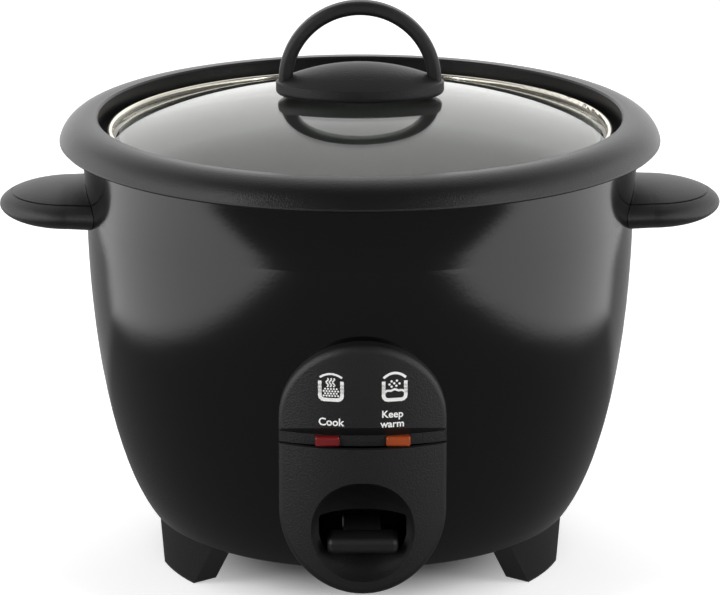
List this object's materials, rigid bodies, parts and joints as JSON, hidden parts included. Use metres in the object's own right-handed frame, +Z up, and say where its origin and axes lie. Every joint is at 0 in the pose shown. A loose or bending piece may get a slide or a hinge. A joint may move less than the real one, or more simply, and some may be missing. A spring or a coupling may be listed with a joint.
{
  "type": "rice cooker",
  "caption": "Round black electric rice cooker with a glass lid, loop knob, lift-out inner pot, side handles, feet and a front panel with a cook lever.",
  "frame": {"origin": "centre of the footprint, on the table under the feet", "axes": "+X to the cooker's right-hand handle as the picture shows it, +Y to its back, +Z up; the panel faces -Y"},
  "size_m": [0.321, 0.266, 0.2518],
  "materials": {
    "black_lacquer": "gloss",
    "satin_plastic": "satin",
    "black_plastic": "fine matte texture",
    "zinc_steel": "zinc plated",
    "steel_bright": "bright",
    "rim_steel": "polished stainless",
    "mica_band": "matte",
    "red_lens": "translucent",
    "amber_lens": "translucent",
    "lamp_glass": "clear",
    "pale_plastic": "matte",
    "switch_plastic": "matte",
    "cast_aluminium": "cast and faced",
    "pot_aluminium": "satin",
    "element_steel": "oxidised",
    "brass": "bright",
    "ferrite": "dull",
    "lid_glass": "tempered",
    "silicone": "matte",
    "lead_brown": "matte",
    "lead_blue": "matte",
    "lead_green": "matte"
  },
  "bodies": {
    "base": {"outer_shell": "black_lacquer", "collar_ring": "satin_plastic", "inner_liner": "zinc_steel", "band_heater": "mica_band", "base_plate": "zinc_steel", "upper_panel": "black_plastic", "lower_panel": "black_plastic", "cook_lens": "red_lens", "warm_lens": "amber_lens", "lamps": "lamp_glass", "lamp_holder": "pale_plastic", "heating_plate": "cast_aluminium", "heating_element": "element_steel", "heater_terminals": "brass", "heater_posts": "zinc_steel", "thermal_fuse": "zinc_steel", "fuse_clip": "zinc_steel", "sensor_housing": "zinc_steel", "sensor_spring": "steel_bright", "pivot_bracket": "zinc_steel", "pivot_pin": "steel_bright", "cook_switch": "switch_plastic", "power_inlet": "black_plastic", "inlet_pins": "brass", "inlet_screws": "steel_bright", "lead_live": "lead_brown", "lead_switch": "lead_brown", "lead_neutral": "lead_blue", "lead_fuse": "lead_blue", "lead_earth": "lead_green", "collar_screws": "zinc_steel", "liner_screws": "zinc_steel", "foot_screws": "zinc_steel", "handle_screws": "zinc_steel", "panel_screws": "zinc_steel", "heater_screws": "zinc_steel", "housing_screws": "zinc_steel", "foot_front_left": "black_plastic", "foot_front_right": "black_plastic", "foot_rear_left": "black_plastic", "foot_rear_right": "black_plastic", "handle_left": "black_plastic", "handle_right": "black_plastic"},
    "lever": {"lever_arm": "zinc_steel", "lever_key": "black_plastic"},
    "plunger": {"switch_plunger": "pale_plastic"},
    "magnet": {"magnet": "ferrite", "magnet_rod": "steel_bright"},
    "sensor": {"sensor_cap": "pot_aluminium", "ferrite_disc": "ferrite"},
    "pot": {"inner_pot": "pot_aluminium"},
    "lid": {"lid_glass": "lid_glass", "lid_rim": "rim_steel", "lid_knob": "black_plastic", "knob_washers": "silicone", "knob_screw": "steel_bright", "vent_grommet": "rim_steel"}
  },
  "joints": [
    {"name": "pot_lift", "type": "slide", "parent": "base", "child": "pot", "axis": [0, 0, 1], "range_m": [0, 0.15]},
    {"name": "lid_lift", "type": "slide", "parent": "pot", "child": "lid", "axis": [0, 0, 1], "range_m": [0, 0.1]},
    {"name": "lever_tilt", "type": "hinge", "parent": "base", "child": "lever", "pos_m": [0, -0.058, 0.044], "axis": [-1, 0, 0], "range_deg": [0, 7]},
    {"name": "plunger_rise", "type": "slide", "parent": "base", "child": "plunger", "axis": [0, 0, 1], "range_m": [0, 0.0018]},
    {"name": "magnet_drop", "type": "slide", "parent": "base", "child": "magnet", "axis": [0, 0, 1], "range_m": [-0.0072, 0]},
    {"name": "sensor_rise", "type": "slide", "parent": "base", "child": "sensor", "axis": [0, 0, 1], "range_m": [0, 0.003], "deforming": ["sensor_spring"]}
  ],
  "couplings": [
    {"joint": "plunger_rise", "follows": "lever_tilt", "m_per_rad": 0.014},
    {"joint": "magnet_drop", "follows": "lever_tilt", "m_per_rad": -0.058},
    {"joint": "sensor_rise", "follows": "pot_lift", "ratio": 0.02}
  ]
}
